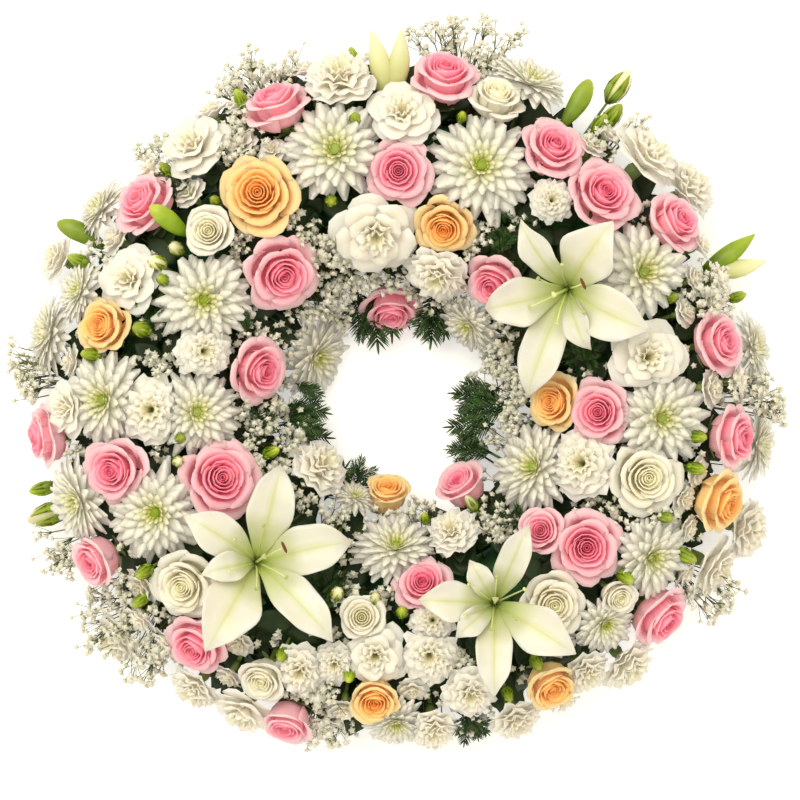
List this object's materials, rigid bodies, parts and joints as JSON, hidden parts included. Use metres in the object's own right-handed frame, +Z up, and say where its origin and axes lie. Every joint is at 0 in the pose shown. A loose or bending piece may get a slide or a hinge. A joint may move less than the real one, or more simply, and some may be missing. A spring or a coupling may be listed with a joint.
{
  "type": "funeral wreath",
  "caption": "Round funeral wreath of fresh roses, chrysanthemums, carnations and lilies on a floral foam ring in a plastic tray, open in the middle.",
  "frame": {"origin": "middle of the wreath's outline, on the surface that it lies on", "axes": "+Z up through the wreath's open middle, +Y towards the side that is uppermost in a view from straight above, +X to its right"},
  "size_m": [0.6524, 0.5986, 0.1597],
  "materials": {
    "tray": "dark green moulded plastic, slightly shiny",
    "foam": "wet green floral foam, matt and crumbly",
    "pink_rose": "soft velvety petals, deep pink inside and pale at the rims",
    "peach_rose": "soft petals, apricot with a warm orange heart",
    "white_rose": "soft cream-white petals",
    "white_flower": "white petals with yellow-green hearts on green stems",
    "lily": "waxy white petals, yellow-green in the throat",
    "bud": "pale green closed buds",
    "leaf": "dark green foliage with a faint sheen"
  },
  "bodies": {
    "root": {"foam_ring": "foam", "foliage_1": "leaf", "foliage_2": "leaf", "foliage_3": "leaf", "foliage_4": "leaf", "foliage_5": "leaf", "foliage_6": "leaf", "foliage_7": "leaf", "foliage_8": "leaf", "lily_1": "lily", "lily_2": "lily", "lily_3": "lily", "lily_bud_2": "bud", "lily_bud_4": "bud", "lily_buds_1": "bud", "lily_buds_3": "bud", "lisianthus_buds": "bud", "peach_rose_1": "peach_rose", "peach_rose_2": "peach_rose", "peach_rose_3": "peach_rose", "peach_rose_4": "peach_rose", "peach_rose_5": "peach_rose", "peach_rose_6": "peach_rose", "peach_rose_7": "peach_rose", "peach_rose_8": "peach_rose", "pink_rose_1": "pink_rose", "pink_rose_11": "pink_rose", "pink_rose_2": "pink_rose", "pink_rose_5": "pink_rose", "pink_rose_7": "pink_rose", "pink_rose_8": "pink_rose", "pink_roses_10": "pink_rose", "pink_roses_12": "pink_rose", "pink_roses_13": "pink_rose", "pink_roses_14": "pink_rose", "pink_roses_15": "pink_rose", "pink_roses_3": "pink_rose", "pink_roses_4": "pink_rose", "pink_roses_6": "pink_rose", "pink_roses_9": "pink_rose", "tray": "tray", "white_bunch_1": "white_flower", "white_bunch_10": "white_flower", "white_bunch_11": "white_flower", "white_bunch_12": "white_flower", "white_bunch_13": "white_flower", "white_bunch_2": "white_flower", "white_bunch_3": "white_flower", "white_bunch_4": "white_flower", "white_bunch_5": "white_flower", "white_bunch_6": "white_flower", "white_bunch_7": "white_flower", "white_bunch_8": "white_flower", "white_bunch_9": "white_flower", "white_rose_1": "white_rose", "white_rose_3": "white_rose", "white_rose_4": "white_rose", "white_rose_6": "white_rose", "white_roses_2": "white_rose", "white_roses_5": "white_rose"}
  },
  "joints": []
}
